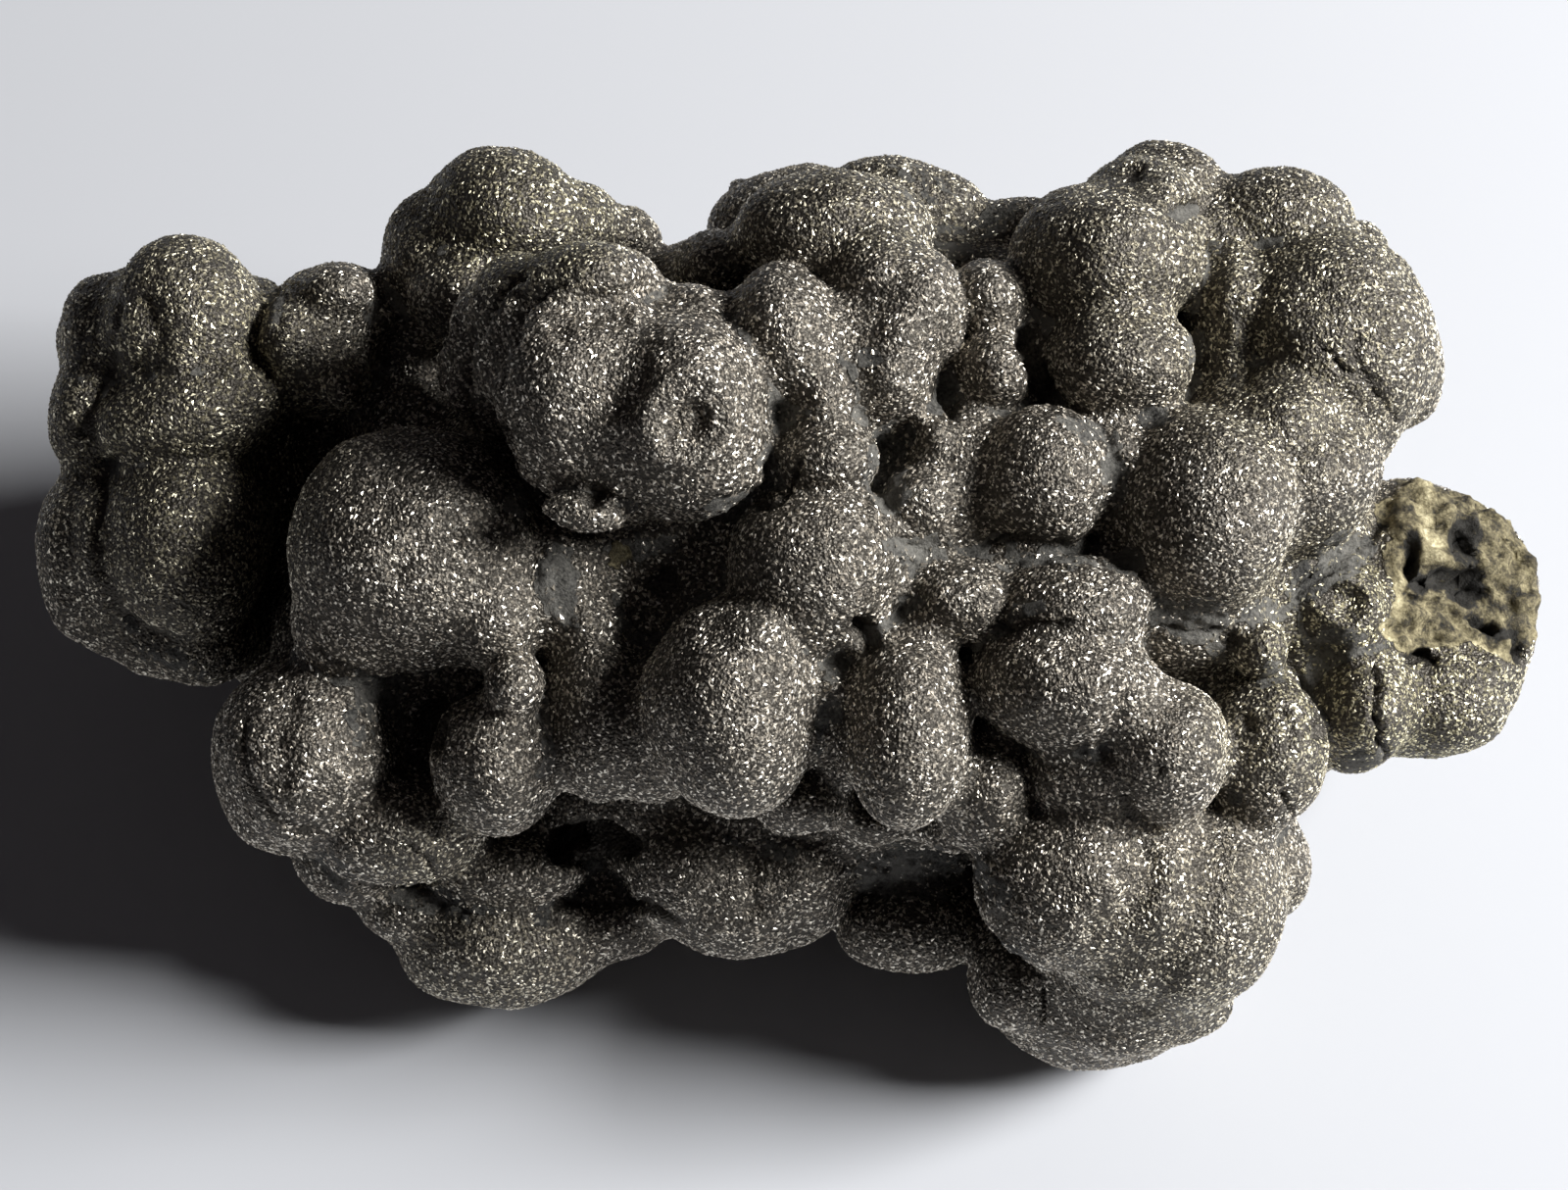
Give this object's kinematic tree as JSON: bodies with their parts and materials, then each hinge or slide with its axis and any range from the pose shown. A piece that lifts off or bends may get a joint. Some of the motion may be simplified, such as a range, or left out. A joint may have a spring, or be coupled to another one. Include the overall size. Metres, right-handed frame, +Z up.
{
  "type": "pyrite nodule",
  "caption": "Botryoidal pyrite nodule: one stone of fused round lobes with a glittering crystal skin, clay in its creases and one broken end, resting on level facets.",
  "frame": {"origin": "under the middle of the nodule's bounding box, on the surface it rests on", "axes": "+X along the nodule's length towards its broken end, +Y to its back, +Z up; the show face looks up and forward, 62 degrees above level towards -Y"},
  "size_m": [0.101, 0.0576, 0.0496],
  "materials": {
    "pyrite": "dark grey-brown druse of tiny silvery and pale brass crystals, dull grey clay in the creases, brassy ochre on the broken end"
  },
  "bodies": {
    "root": {"pyrite": "pyrite"}
  },
  "joints": []
}
